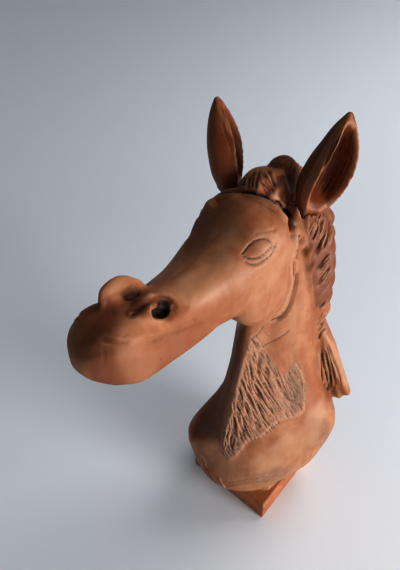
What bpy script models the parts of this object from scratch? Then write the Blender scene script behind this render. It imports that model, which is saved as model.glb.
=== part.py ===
"""A carved wooden horse head and neck on a square base plate, with its two ears glued into sockets.

Metres, +Z up, muzzle towards -Y, the horse's own left side towards +X.
The origin is the middle of the base plate's underside.
Sizes of the base plate and of the fits are real sizes. The free carving is written in shares of its
own height: one share is 1/395 of the height from the base plate to the tips of the ears.
"""

import math

import bmesh
import bpy
import numpy as np
from mathutils import Matrix, Vector

# Base plate
BASE_SIDE = 0.100
BASE_THICKNESS = 0.020
BASE_CHAMFER = 0.0025

# Carving, from the top of the base plate to the tips of the ears
FIGURE_HEIGHT = 0.395
SHARES = 395
SHARE = FIGURE_HEIGHT / SHARES

# Fits: the carving on the plate, and the glued ears in their sockets
SEAT_GAP = 0.0003
FOOT_MARGIN = 0.006
SOCKET_CLEARANCE = 0.0004
EAR_PLUG_RADIUS = 0.0085
EAR_PLUG_LENGTH = 0.008

# Nostril bores
NOSTRIL_RADIUS = 0.0047
NOSTRIL_DEPTH = 0.014

# Meshing
RING_POINTS = 48
NECK_ROWS = 75
HEAD_ROWS = 70
LOCK_ROWS = 6
LOCK_POINTS = 12
PATH_ROWS = 24
SKIN_VOXEL = 0.0017
FIGURE_TRIANGLES = 7600
SHARP_ANGLE = 50

WOOD = (0.42, 0.165, 0.062, 1.0)
EAR_WOOD = (0.33, 0.125, 0.048, 1.0)
BASE_WOOD = (0.36, 0.15, 0.06, 1.0)

# The square foot inside the bust: its lowest and highest row, and how far its corners may reach out
FOOT_ROWS = (-4, 4)
FOOT_CORNER = 1.15

# Bust and neck. Height above the plate, the middle along Y, and twelve radii every 30 degrees,
# anticlockwise from the horse's left side (+X)
NECK_SECTIONS = (
    (9, 0, (46, 58, 54, 48, 48, 44, 42, 48, 58, 58, 52, 44)),
    (13, 0, (57, 70, 66, 60, 58, 52, 50, 56, 70, 70, 62, 54)),
    (42, 0, (62, 80, 76, 64, 60, 56, 54, 64, 79, 66, 62, 58)),
    (63, 0, (62, 85, 82, 66, 60, 52, 50, 62, 81, 64, 58, 55)),
    (76, 0, (60, 85, 82, 68, 59, 50, 47, 56, 70, 62, 55, 53)),
    (92, 0, (55, 79, 80, 70, 57, 47, 43, 47, 56, 60, 52, 49)),
    (115, 0, (46, 63, 72, 71, 53, 42, 37, 38, 44, 56, 46, 43)),
    (145, 2, (38, 50, 66, 68, 49, 38, 33, 34, 38, 50, 38, 35)),
    (180, 4, (33, 43, 61, 65, 45, 35, 31, 32, 34, 45, 31, 29)),
    (215, 5, (30, 39, 57, 63, 42, 32, 29, 30, 32, 40, 28, 27)),
    (260, 6, (27, 35, 51, 58, 39, 30, 27, 28, 30, 34, 28, 26)),
    (290, 2, (25, 31, 42, 46, 33, 27, 25, 27, 30, 32, 28, 25)),
    (312, -4, (20, 23, 28, 30, 24, 21, 20, 22, 24, 25, 23, 20)),
)

# Head. Distance in front of the origin, height of the middle, and radii towards the crown, the brow
# edge, the side, the jaw edge and the underside
HEAD_SECTIONS = (
    (-4, 284, (24, 24, 20, 22, 24)),
    (14, 288, (28, 27, 25, 28, 32)),
    (34, 290, (33, 33, 31, 36, 38)),
    (41, 290, (37, 38, 33, 38, 38.5)),
    (44, 290, (46, 47, 34, 38.5, 39)),
    (48, 290, (47, 48, 34.5, 39, 39)),
    (60, 290, (47, 44.5, 35, 38.5, 36.5)),
    (69, 289, (42, 40, 34.5, 37, 34.5)),
    (77, 287, (32, 35, 33.5, 35, 32)),
    (87, 284, (27, 32.5, 31, 33, 30)),
    (100, 280, (25.5, 29.5, 27.5, 29, 28)),
    (116, 276, (25, 27, 24.5, 27, 28)),
    (134, 273, (26, 26, 23, 25.5, 26)),
    (152, 272, (26, 26.5, 23, 25.5, 24)),
    (170, 273, (27, 30, 23.5, 25, 20)),
    (185, 275, (22.5, 27, 19.5, 19, 15)),
    (195, 277, (13, 17, 13, 12, 9)),
    (200, 278, (5, 6, 5.5, 5, 4)),
)

# The cheeks: a puck on each side, as distance from the middle and radius
CHEEK_MIDDLE = (-48, 274)
CHEEK_PROFILE = ((0, 37.5), (20, 37.5), (25, 36.5), (29, 33.5), (32.5, 28), (34.8, 19), (35.8, 7))

# The line behind the forehead, from the middle of the crown down to the left jaw
CHEEK_EDGE = ((0, -46, 338), (12, -44, 337), (22, -38, 333), (30, -33, 323), (33, -26, 307), (33, -18, 294),
              (31, -12, 280), (30, -11, 266), (29, -14, 252), (27, -22, 243), (25, -36, 237), (23, -52, 236))
CHEEK_LIP = {"height": 2.5, "inner": 14, "outer": 2.5}

# The eye of the left side: the almond's upper and lower lid lines
EYE_UPPER = ((24, -82, 310), (26, -76, 315), (28, -71, 318), (31, -66, 319), (34, -61, 316), (35, -57, 313))
EYE_LOWER = ((24, -82, 310), (28, -81, 307), (32, -77, 304), (34, -71, 304), (35, -64, 308), (35, -57, 313))
EYE_CUT = {"width": 2, "depth": 1.7, "fade": 0.05}

# Left nostril: its mouth and the way it faces, and the comma cut over it
NOSTRIL = (18, -148, 297)
NOSTRIL_FACES = (0.75, -0.22, 0.62)
NOSTRIL_COMMA = ((14, -170, 302), (13, -164, 306), (14, -157, 308), (14, -150, 306), (13, -141, 300),
                 (14, -135, 295), (17, -139, 291))
NOSTRIL_CUT = {"width": 3.5, "depth": 3}
NOSTRIL_TAPER = (0.75, 1.1)

# Nostril flaps: the left one a swelling, the right one a standing leaf with its half widths
LEFT_FLAP = (11, -155, 299)
LEFT_FLAP_SIZE = (8.5, 16, 11.5)
LEFT_FLAP_TURN = (12, 12, 8)
RIGHT_FLAP = ((-7, -168, 293), (-8, -164, 302), (-8, -157, 302), (-8, -148, 299), (-9, -138, 294))
RIGHT_FLAP_SIZE = (7, 13, 12.5, 9, 3)
RIGHT_FLAP_FLAT = 0.36

# The bone of the lower jaw with its half widths
JAW_BONE = ((11, -184, 267), (12, -156, 260), (12, -124, 258), (12, -98, 257))
JAW_BONE_SIZE = (7, 8, 8, 6)

# Lips and lower jaw of the left side
MOUTH = ((5, -198, 288), (10, -195, 290), (16, -187, 291), (21, -177, 289))
JAW_LINE = ((21, -177, 287), (23, -165, 284), (23, -153, 279), (24, -136, 275), (25, -118, 273))
MOUTH_CUT = {"width": 2.5, "depth": 1.5}
JAW_CUT = {"width": 5, "depth": 1.8}

# The edge between the front of the neck and its left side
NECK_EDGE = ((7, -34, 204), (6, -39, 182), (4, -45, 160), (4, -51, 134), (3, -58, 107), (2, -62, 80),
             (5, -64, 60))
NECK_RIDGE = {"width": 6, "depth": -2}

# The rough patch left uncut on the chest: its lower edge, and the furrows in it
PATCH_EDGE = ((36, 6, 163), (43, 11, 139), (50, 6, 113), (49, -2, 104), (40, -21, 106), (35, -31, 100),
              (32, -39, 93), (22, -49, 87), (14, -58, 65), (7, -63, 51))
PATCH_LIP = {"height": 1.6, "inner": 16, "outer": 2.5}
FURROWS = (
    ((6, -35, 193), (6, -42, 161), (7, -52, 122), (8, -60, 69)),
    ((9, -33, 187), (11, -38, 155), (15, -45, 122), (17, -55, 80)),
    ((14, -26, 183), (16, -32, 153), (22, -36, 121), (27, -42, 93)),
    ((18, -23, 168), (25, -26, 141), (37, -22, 113)),
    ((24, -16, 167), (31, -15, 144), (45, -3, 116)),
)
FURROW_CUT = {"width": 3, "depth": 1.8}

# Mane: the crest line behind the neck and the front edge on the left side of the neck
MANE_CREST = ((0, 16, 334), (9, 40, 312), (14, 56, 288), (15, 61, 262), (14, 60, 232), (15, 54, 206))
MANE_FRONT = ((27, -4, 318), (29, 6, 292), (31, 16, 262), (32, 24, 236), (33, 32, 212), (34, 38, 192))
TUFT_TIPS = ((42, 52, 108), (49, 57, 97), (57, 60, 90), (66, 63, 91), (73, 66, 98), (62, 74, 104),
             (50, 79, 111), (34, 79, 119), (30, 66, 104))

# Locks of the mane: the number of rows, and for each kind its half widths, its flatness and its steps
# off the crest or the front edge
LOCK_COUNT = 8
FALL_SIZE = (5, 9, 10, 6, 2)
FALL_FLAT = 0.7
FALL_ROOT = (-6, -2, 8)
FALL_BELLY = (9, 2, 0)
FALL_TIP = (-1, 3, -16)
CREST_SIZE = (8, 11, 7)
CREST_FLAT = 0.8
CREST_ROOT = (-4, -8, 12)
CREST_HUMP = (0, 4, 0)
CREST_TIP = (0, 0, -20)
TURN_SIZE = (9, 5)
TURN_ROOT = (-10, 0, 4)
TURN_TIP = (-4, -22, -18)

# The waist of the mane, the wood that ties the tuft to the shoulder, and the tuft's strands, which
# swell at a share of the way from the waist to the tips
WAIST = (21, 48, 206)
TUFT_ROOT = ((16, 43, 204), (26, 52, 165), (36, 54, 135), (43, 52, 108))
TUFT_ROOT_SIZE = (8, 15, 17, 12)
TUFT_ROOT_FLAT = 0.9
STRAND_ROOT = (-4, -4, 18)
STRAND_SWELL = 0.55
STRAND_IN = (0.93, 0.97, 1)
STRAND_RISE = (0, 0, 4)
STRAND_SIZE = (6, 9, 12, 5)
STRAND_FLAT = 0.75

# The poll and the wood under the forelock, as centres and half sizes
POLL = (
    ((3, -6, 337), (14, 17, 21)),
    ((0, 12, 322), (18, 22, 20)),
    ((6, -22, 330), (15, 10, 17)),
    ((0, -34, 329), (12, 13, 13)),
)

# The forelock: a curl that is repeated across, and one that curls to the side
FORELOCK_SPREAD = (-5, 1, 7)
FORELOCK_CURL = ((3, -18, 347), (0, -30, 346), (-3, -39, 340), (-2, -45, 333))
FORELOCK_SIZE = (5, 6, 5, 3)
SIDE_CURL = ((13, -20, 342), (13, -31, 339), (11, -38, 333), (14, -41, 328), (18, -38, 327))
SIDE_CURL_SIZE = (5, 6, 5, 5, 4)
CURL_FLAT = 0.9
CURL_FACES = (0, -1, 0.5)


# Ears. Station along the ear, half width, depth of the back, height of the rims, hollowness and lean
# towards the rear rim
EAR_SECTIONS = (
    (0, 11, 11, 7, 0, 0),
    (6, 14, 12, 8.5, 0.3, 0),
    (12, 16, 13.5, 10, 0.8, 0),
    (20, 17.5, 14, 11, 1, 0.5),
    (33, 16.5, 14, 11, 1, 2),
    (45, 13, 12, 9, 1, 3),
    (54, 9.5, 9, 6.5, 0.75, 2),
    (61, 5.5, 5.5, 4, 0.1, 1),
    (67, 1.5, 1.5, 1, 0, 0),
)
EAR_STATIONS = 17
EAR_WALL = 5
EAR_BACK = 5
EAR_WRAP = 120
EAR_BACK_POINTS = 15
EAR_HOLLOW_POINTS = 9
EAR_WALL_SHARE = 0.4
EAR_BACK_SHARE = 0.3
HOLLOW_EDGE = 0.04
HOLLOW_RIM = 0.96
HOLLOW_ROUND = 0.6
DOME_RISE = 0.3
SOCKET_TOP = 17
PLUG_FLAT = 0.65

# The swelling of the head that tapers up into each ear's root, with its half widths
LEFT_SEAT = ((8, 4, 276), (22, -7, 303), (31, -12, 321), (35, -13, 333))
RIGHT_SEAT = ((-8, 0, 276), (-21, -14, 303), (-30, -21, 324), (-33, -23.5, 336))
SEAT_SIZE = (13, 18, 15, 9)
SEAT_FLAT = 0.8


class Frame:
    """Three directions and an origin: across, out and along."""

    def __init__(self, origin, along, out):
        self.origin = Vector(origin)
        self.along = Vector(along).normalized()
        self.across = self.along.cross(Vector(out)).normalized()
        self.out = self.across.cross(self.along).normalized()

    def at(self, across, out, along):
        return self.origin + self.across * across + self.out * out + self.along * along


def place(x, y, z):
    """A point of the carving: shares of the figure, z from the top of the base plate."""
    return Vector((x * SHARE, y * SHARE, BASE_THICKNESS + SEAT_GAP + z * SHARE))


def catmull(a, b, c, d, t):
    """A smooth curve from b to c."""
    return 0.5 * (2 * b + (c - a) * t + (2 * a - 5 * b + 4 * c - d) * t**2 + (3 * b - a - 3 * c + d) * t**3)


def along_curve(points, count):
    """Evenly spaced rows on a smooth open curve through the given rows."""
    rows = np.asarray(points, float)
    last = len(rows) - 1
    out = []
    for step in np.linspace(0, last, count):
        i = min(int(step), last - 1)
        a, b, c, d = (rows[min(max(i + k, 0), last)] for k in (-1, 0, 1, 2))
        out.append(catmull(a, b, c, d, step - i))
    return np.array(out)


def around_curve(values, count):
    """Evenly spaced values on a smooth closed curve through the given ones."""
    known = len(values)
    out = []
    for step in np.arange(count) * known / count:
        i = int(step)
        a, b, c, d = (values[(i + k) % known] for k in (-1, 0, 1, 2))
        out.append(catmull(a, b, c, d, step - i))
    return np.array(out)


def object_from(name, bm):
    """Turns a bmesh into a linked object."""
    mesh = bpy.data.meshes.new(name)
    bm.to_mesh(mesh)
    bm.free()
    obj = bpy.data.objects.new(name, mesh)
    bpy.context.scene.collection.objects.link(obj)
    return obj


def solid_from_rings(name, rings):
    """A closed solid through rings of the same number of points, each end filled."""
    bm = bmesh.new()
    loops = [[bm.verts.new(p) for p in ring] for ring in rings]
    for low, high in zip(loops, loops[1:]):
        for i in range(len(low)):
            j = (i + 1) % len(low)
            bm.faces.new((low[i], low[j], high[j], high[i]))
    bm.faces.new(loops[0][::-1])
    bm.faces.new(loops[-1])
    bmesh.ops.recalc_face_normals(bm, faces=bm.faces)
    if bm.calc_volume(signed=True) < 0:
        bmesh.ops.reverse_faces(bm, faces=bm.faces)
    return object_from(name, bm)


def flat_rows(sections):
    """Section tuples as rows of plain numbers."""
    return [[s[0], s[1], *s[2]] for s in sections]


def neck_and_bust():
    """The bust and neck: a stack of radial plans on a square foot."""
    half = (BASE_SIDE / 2 - FOOT_MARGIN) / SHARE
    square = [half * min(1 / max(abs(math.cos(a)), abs(math.sin(a))), FOOT_CORNER)
              for a in np.arange(12) * math.tau / 12]
    rows = [[height, 0, *square] for height in FOOT_ROWS] + flat_rows(NECK_SECTIONS)
    angles = np.arange(RING_POINTS) * math.tau / RING_POINTS
    rings = []
    for height, middle, *plan in along_curve(rows, NECK_ROWS):
        radii = around_curve(plan, RING_POINTS)
        rings.append([place(r * math.cos(a), middle + r * math.sin(a), height) for r, a in zip(radii, angles)])
    return solid_from_rings("neck", rings)


def head():
    """The head from the crown to the muzzle: upright sections, the same on both sides."""
    angles = np.arange(RING_POINTS) * math.tau / RING_POINTS
    rings = []
    for reach, height, top, brow, side, jaw, under in along_curve(flat_rows(HEAD_SECTIONS), HEAD_ROWS):
        radii = around_curve((side, brow, top, brow, side, jaw, under, jaw), RING_POINTS)
        rings.append([place(r * math.cos(a), -reach, height + r * math.sin(a)) for r, a in zip(radii, angles)])
    return solid_from_rings("head", rings)


def ball(centre, radii, turn=(0, 0, 0)):
    """An ellipsoid in shares of the figure, turned by degrees about X, Y and Z."""
    bm = bmesh.new()
    bmesh.ops.create_icosphere(bm, subdivisions=4, radius=1)
    bmesh.ops.scale(bm, vec=Vector(radii) * SHARE, verts=bm.verts)
    for angle, axis in zip(turn, "XYZ"):
        bmesh.ops.rotate(bm, matrix=Matrix.Rotation(math.radians(angle), 3, axis), verts=bm.verts)
    bmesh.ops.translate(bm, vec=place(*centre), verts=bm.verts)
    return object_from("ball", bm)


def lock(points, widths, flat=0.6, out=(1, 0.3, 0)):
    """A lock of hair: a strand through points, its half widths in shares, flattened along out."""
    steps = LOCK_ROWS * (len(points) - 1) + 1
    path = [place(*p) for p in along_curve(points, steps)]
    sizes = np.interp(np.linspace(0, 1, steps), np.linspace(0, 1, len(widths)), widths) * SHARE
    rings = []
    for k, (p, size) in enumerate(zip(path, sizes)):
        frame = Frame(p, path[min(k + 1, steps - 1)] - path[max(k - 1, 0)], out)
        rings.append([frame.at(size * math.cos(a), size * flat * math.sin(a), 0)
                      for a in np.arange(LOCK_POINTS) * math.tau / LOCK_POINTS])
    return solid_from_rings("lock", rings)


def mirrored(points):
    """The same points on the other side."""
    return [(-p[0], *p[1:]) for p in points]


def mane():
    """The mane: locks that fall forward from the crest, and the tuft they gather into."""
    locks = []
    crest = along_curve(MANE_CREST, LOCK_COUNT + 1)
    front = along_curve(MANE_FRONT, LOCK_COUNT + 1)
    for start, end in zip(crest[:-1], front[1:]):
        middle = (start + end) / 2 + FALL_BELLY
        locks.append(lock((start + FALL_ROOT, start, middle, end, end + FALL_TIP), FALL_SIZE, FALL_FLAT))
        locks.append(lock((start + CREST_ROOT, start + CREST_HUMP, start + CREST_TIP), CREST_SIZE, CREST_FLAT,
                          (0, 1, 0)))
        right = mirrored([start])[0] + np.array(TURN_TIP)
        locks.append(lock((start + TURN_ROOT, right), TURN_SIZE, out=(-1, 0.5, 0)))
    locks.append(lock(TUFT_ROOT, TUFT_ROOT_SIZE, TUFT_ROOT_FLAT))
    waist = np.array(WAIST, float)
    for tip in TUFT_TIPS:
        middle = (waist + (tip - waist) * STRAND_SWELL) * STRAND_IN + STRAND_RISE
        locks.append(lock((waist + STRAND_ROOT, waist, middle, tip), STRAND_SIZE, STRAND_FLAT))
    return locks


def crown():
    """The poll, the seats of the ears and the curls of the forelock between them."""
    curls = [ball(centre, radii) for centre, radii in POLL]
    for seat in (LEFT_SEAT, RIGHT_SEAT):
        curls.append(lock(seat, SEAT_SIZE, SEAT_FLAT))
    for across in FORELOCK_SPREAD:
        curl = [(across + x, y, z) for x, y, z in FORELOCK_CURL]
        curls.append(lock(curl, FORELOCK_SIZE, CURL_FLAT, CURL_FACES))
    curls.append(lock(SIDE_CURL, SIDE_CURL_SIZE, CURL_FLAT, CURL_FACES))
    return curls


def cheeks():
    """Two round flat cheeks, back to back in one turned solid."""
    angles = np.arange(RING_POINTS) * math.tau / RING_POINTS
    profile = [(-x, radius) for x, radius in CHEEK_PROFILE[:0:-1]] + list(CHEEK_PROFILE)
    rings = []
    for x, radius in profile:
        rings.append([place(x, CHEEK_MIDDLE[0] + radius * math.cos(a), CHEEK_MIDDLE[1] + radius * math.sin(a))
                      for a in angles])
    return solid_from_rings("cheeks", rings)


def nose_and_jaw():
    """The raised nostril flaps and the lower jaw, on both sides."""
    parts = [ball(LEFT_FLAP, LEFT_FLAP_SIZE, LEFT_FLAP_TURN),
             lock(RIGHT_FLAP, RIGHT_FLAP_SIZE, RIGHT_FLAP_FLAT, (1, 0, 0))]
    for side in (1, -1):
        parts.append(lock([(side * x, y, z) for x, y, z in JAW_BONE], JAW_BONE_SIZE, 0.9, (side, 0, 0)))
    return parts


def fuse(name, solids):
    """One skin over overlapping solids."""
    bm = bmesh.new()
    for solid in solids:
        bm.from_mesh(solid.data)
        bpy.data.objects.remove(solid)
    whole = object_from(name, bm)
    skin(whole, 3)
    return whole


def skin(obj, rounds):
    """Gives an object a fresh even skin, relaxed a few rounds."""
    fresh = obj.modifiers.new("skin", "REMESH")
    fresh.mode = "VOXEL"
    fresh.voxel_size = SKIN_VOXEL
    if rounds:
        relax = obj.modifiers.new("relax", "SMOOTH")
        relax.factor = 0.5
        relax.iterations = rounds
    settle(obj)


def settle(obj):
    """Applies an object's modifiers."""
    graph = bpy.context.evaluated_depsgraph_get()
    mesh = bpy.data.meshes.new_from_object(obj.evaluated_get(graph))
    obj.modifiers.clear()
    obj.data = mesh


class Gouge:
    """Cuts and raises a mesh along paths on its skin."""

    def __init__(self, obj):
        self.mesh = obj.data
        count = len(self.mesh.vertices)
        self.points = np.empty(count * 3)
        self.mesh.vertices.foreach_get("co", self.points)
        self.points = self.points.reshape(-1, 3)
        self.refresh()

    def refresh(self):
        """Writes the points back and reads the normals again."""
        self.mesh.vertices.foreach_set("co", self.points.ravel())
        self.mesh.update()
        normals = np.empty(len(self.points) * 3)
        self.mesh.vertex_normals.foreach_get("vector", normals)
        self.normals = normals.reshape(-1, 3)

    def near(self, path, reach):
        """Vertices within reach of a path, with their distance, side, place along it and the tangent there."""
        line = np.array([place(*p) for p in along_curve(path, PATH_ROWS * (len(path) - 1))])
        low, high = line.min(0) - reach, line.max(0) + reach
        chosen = np.nonzero(np.all((self.points > low) & (self.points < high), 1))[0]
        offset = self.points[chosen][:, None, :] - line[None]
        gaps = np.linalg.norm(offset, axis=2)
        nearest = gaps.argmin(1)
        keep = gaps[np.arange(len(chosen)), nearest] < reach
        chosen, nearest = chosen[keep], nearest[keep]
        offset = self.points[chosen] - line[nearest]
        tangent = np.gradient(line, axis=0)
        tangent /= np.linalg.norm(tangent, axis=1)[:, None]
        side = np.cross(tangent[nearest], self.normals[chosen])
        across = np.einsum("ij,ij->i", offset, side)
        return chosen, across, nearest / (len(line) - 1)

    def push(self, chosen, amount):
        """Moves vertices along their normals."""
        self.points[chosen] += self.normals[chosen] * amount[:, None]
        self.refresh()

    def groove(self, path, width, depth, fade=0.15):
        """A rounded groove, or a ridge where the depth is negative; width and depth in shares."""
        chosen, across, along = self.near(path, width * SHARE * 1.5)
        shape = np.clip(1 - np.abs(across) / (width * SHARE), 0, 1)
        shape = shape * shape * (3 - 2 * shape)
        ends = np.clip(np.minimum(along, 1 - along) / fade, 0, 1)
        self.push(chosen, -depth * SHARE * shape * ends)

    def lip(self, path, height, inner, outer, fade=0.1):
        """A step: raised on the right of the path, falling off over inner, and sharply over outer."""
        chosen, across, along = self.near(path, max(inner, outer) * SHARE)
        width = np.where(across > 0, inner, outer) * SHARE
        shape = np.clip(1 - np.abs(across) / width, 0, 1)
        shape = shape * shape * (3 - 2 * shape)
        ends = np.clip(np.minimum(along, 1 - along) / fade, 0, 1)
        self.push(chosen, height * SHARE * shape * ends)


def carve(figure):
    """The edges and grooves that show from a step away."""
    gouge = Gouge(figure)
    for flip in (False, True):
        turn = mirrored if flip else list
        edge = turn(CHEEK_EDGE)
        gouge.lip(edge[::-1] if flip else edge, **CHEEK_LIP)
        gouge.groove(turn(EYE_UPPER), **EYE_CUT)
        gouge.groove(turn(EYE_LOWER), **EYE_CUT)
        gouge.groove(turn(NOSTRIL_COMMA), **NOSTRIL_CUT)
        gouge.groove(turn(MOUTH), **MOUTH_CUT)
        gouge.groove(turn(JAW_LINE), **JAW_CUT)
    gouge.groove(NECK_EDGE, **NECK_RIDGE)
    gouge.lip(PATCH_EDGE, **PATCH_LIP)
    for furrow in FURROWS:
        gouge.groove(furrow, **FURROW_CUT)


def nostril_bore(side):
    """The cutter of one nostril: a short round bore."""
    faces = Vector((side * NOSTRIL_FACES[0], *NOSTRIL_FACES[1:])).normalized()
    mouth = place(side * NOSTRIL[0], *NOSTRIL[1:])
    bm = bmesh.new()
    inner, outer = NOSTRIL_TAPER
    bmesh.ops.create_cone(bm, cap_ends=True, segments=20, radius1=NOSTRIL_RADIUS * inner,
                          radius2=NOSTRIL_RADIUS * outer, depth=2 * NOSTRIL_DEPTH)
    turn = faces.to_track_quat("Z", "Y").to_matrix()
    bmesh.ops.rotate(bm, matrix=turn, verts=bm.verts)
    bmesh.ops.translate(bm, vec=mouth, verts=bm.verts)
    return object_from("nostril", bm)


def trim(figure):
    """Cuts the foot off flat on the plate."""
    bm = bmesh.new()
    bm.from_mesh(figure.data)
    bottom = Vector((0, 0, BASE_THICKNESS + SEAT_GAP))
    cut = bmesh.ops.bisect_plane(bm, geom=bm.verts[:] + bm.edges[:] + bm.faces[:], plane_co=bottom,
                                 plane_no=(0, 0, -1), clear_outer=True)
    edges = [e for e in cut["geom_cut"] if isinstance(e, bmesh.types.BMEdge)]
    bmesh.ops.contextual_create(bm, geom=edges)
    bmesh.ops.recalc_face_normals(bm, faces=bm.faces)
    bm.to_mesh(figure.data)
    bm.free()


def thin(figure, triangles):
    """Brings a mesh down to about that many triangles."""
    count = sum(len(p.vertices) - 2 for p in figure.data.polygons)
    decimate = figure.modifiers.new("thin", "DECIMATE")
    decimate.ratio = triangles / count
    settle(figure)


def paint(obj, color):
    """Gives an object its wood."""
    wood = bpy.data.materials.new(obj.name + "_wood")
    wood.use_nodes = True
    shader = wood.node_tree.nodes["Principled BSDF"]
    shader.inputs["Base Color"].default_value = color
    shader.inputs["Roughness"].default_value = 0.45
    shader.inputs["Metallic"].default_value = 0.0
    obj.data.materials.clear()
    obj.data.materials.append(wood)
    obj.data.shade_smooth()
    obj.data.set_sharp_from_angle(angle=math.radians(SHARP_ANGLE))


LEFT_EAR = Frame((33.5, -14, 327), (15, 17, 77), (0.92, -0.36, 0))
RIGHT_EAR = Frame((-32.3, -23.2, 330.5), (-15, -8, 82), (0.86, 0.46, 0.1))


def ear_ring(frame, station, half, back, rim, hollow, lean=0):
    """One section of an ear: round the back from rim to rim, then back through the hollow."""
    ring = []
    for a in np.radians(np.linspace(-EAR_WRAP, EAR_WRAP, EAR_BACK_POINTS)):
        rise = back if abs(a) < math.pi / 2 else rim / -math.cos(math.radians(EAR_WRAP))
        ring.append((half * math.sin(a), -rise * math.cos(a)))
    wall = min(EAR_WALL, EAR_WALL_SHARE * half)
    floor = max(back - EAR_BACK, EAR_BACK_SHARE * back)
    for t in np.linspace(HOLLOW_EDGE, 1 - HOLLOW_EDGE, EAR_HOLLOW_POINTS):
        across = (1 - 2 * t) * (half * math.sin(math.radians(EAR_WRAP)) - wall * hollow)
        wide = (half - wall) * math.cos(math.pi * t)
        dome = rim * (1 + DOME_RISE * math.sin(math.pi * t))
        deep = rim * HOLLOW_RIM - (rim + floor) * math.sin(math.pi * t) ** HOLLOW_ROUND
        ring.append((across * (1 - hollow) + wide * hollow, dome * (1 - hollow) + deep * hollow))
    return [place(*frame.at(w + lean, n, station)) for w, n in ring]


def ear_rings(frame):
    """All sections of an ear, from the end of its plug to the tip."""
    plug = EAR_PLUG_RADIUS / SHARE
    depth = EAR_PLUG_LENGTH / SHARE
    rings = [ear_ring(frame, -depth, plug, plug, plug * PLUG_FLAT, 0),
             ear_ring(frame, -depth / 2, plug, plug, plug * PLUG_FLAT, 0)]
    for row in along_curve(EAR_SECTIONS, EAR_STATIONS):
        rings.append(ear_ring(frame, *row))
    return rings


def socket(frame):
    """The cutter of an ear's socket: the ear's lower part with its clearance all round."""
    more = SOCKET_CLEARANCE / SHARE
    plug = EAR_PLUG_RADIUS / SHARE + more
    rings = [ear_ring(frame, -EAR_PLUG_LENGTH / SHARE - more, plug, plug, plug * PLUG_FLAT, 0)]
    for station, half, back, rim, *_ in along_curve(EAR_SECTIONS, EAR_STATIONS):
        if station < SOCKET_TOP:
            rings.append(ear_ring(frame, station, half + more, back + more, rim + more, 0))
    return solid_from_rings("socket", rings)


def ear(name, frame):
    """A glued ear with its plug."""
    piece = solid_from_rings(name, ear_rings(frame))
    paint(piece, EAR_WOOD)
    return piece


def cut(target, cutter):
    """Cuts one solid out of another and drops the cutter."""
    boolean = target.modifiers.new("cut", "BOOLEAN")
    boolean.operation = "DIFFERENCE"
    boolean.solver = "EXACT"
    boolean.object = cutter
    settle(target)
    bpy.data.objects.remove(cutter)


def base():
    """The square base plate with its chamfered top edge."""
    bm = bmesh.new()
    bmesh.ops.create_cube(bm, size=1)
    bmesh.ops.scale(bm, vec=(BASE_SIDE, BASE_SIDE, BASE_THICKNESS), verts=bm.verts)
    bmesh.ops.translate(bm, vec=(0, 0, BASE_THICKNESS / 2), verts=bm.verts)
    rim = [e for e in bm.edges if all(v.co.z > BASE_THICKNESS / 2 for v in e.verts)]
    bmesh.ops.bevel(bm, geom=rim, offset=BASE_CHAMFER, offset_type="OFFSET", affect="EDGES", segments=1,
                    profile=0.5, material=-1)
    plate = object_from("square_base", bm)
    paint(plate, BASE_WOOD)
    return plate


def main():
    """Builds the plate, the carving and the two ears in its sockets."""
    for old in list(bpy.data.objects):
        bpy.data.objects.remove(old)
    base()
    figure = fuse("horse_head_bust", [neck_and_bust(), head(), cheeks(), *nose_and_jaw(), *crown(), *mane()])
    carve(figure)
    skin(figure, 0)
    trim(figure)
    thin(figure, FIGURE_TRIANGLES)
    for side in (1, -1):
        cut(figure, nostril_bore(side))
    for name, frame in (("left_ear", LEFT_EAR), ("right_ear", RIGHT_EAR)):
        ear(name, frame)
        cut(figure, socket(frame))
    paint(figure, WOOD)


main()
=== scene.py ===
"""The carved wooden horse head, dressed: tool marks, waxed wood, glued ears and the plate that it stands on.

Metres, +Z up, the muzzle towards -Y, the horse's own left side towards +X. Every visible piece is a finer
copy of a solid of the frame. Carved lines that show in the photograph are given as the picture points that
they pass through, in its 400 by 570 frame, and are thrown from the camera on to the skin of the wood.
"""
import logging
import math
from dataclasses import dataclass
from enum import Enum
from typing import Optional, Sequence, Union

import bmesh
import bpy
import numpy as np
from mathutils import Matrix, Vector, noise
from mathutils.bvhtree import BVHTree


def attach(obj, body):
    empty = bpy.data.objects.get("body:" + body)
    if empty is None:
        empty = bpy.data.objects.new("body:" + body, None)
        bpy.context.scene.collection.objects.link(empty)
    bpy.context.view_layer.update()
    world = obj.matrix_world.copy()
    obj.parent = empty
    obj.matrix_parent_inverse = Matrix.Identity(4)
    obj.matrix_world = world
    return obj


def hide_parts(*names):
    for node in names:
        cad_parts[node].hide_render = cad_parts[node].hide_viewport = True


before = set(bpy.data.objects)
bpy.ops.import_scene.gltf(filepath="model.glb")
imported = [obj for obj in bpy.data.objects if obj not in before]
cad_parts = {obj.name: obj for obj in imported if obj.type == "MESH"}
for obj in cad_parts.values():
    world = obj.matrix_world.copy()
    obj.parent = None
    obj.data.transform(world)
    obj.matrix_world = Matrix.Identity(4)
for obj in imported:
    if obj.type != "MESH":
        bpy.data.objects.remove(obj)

log = logging.getLogger("horse_head")
MM = 0.001

# Corners closer than this are one, TINY keeps sums off 0, and BATCH vertices are measured at a time
SAME_CORNER = 0.01 * MM
TINY = 1e-9
FAR = 1e9
BATCH = 4000

MASKS = ("hollow", "worn", "stain", "rough", "relief", "grey", "mane", "shade")
Triple = tuple[float, float, float]
Pair = tuple[float, float]
Line = Sequence[tuple[float, ...]]


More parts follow.
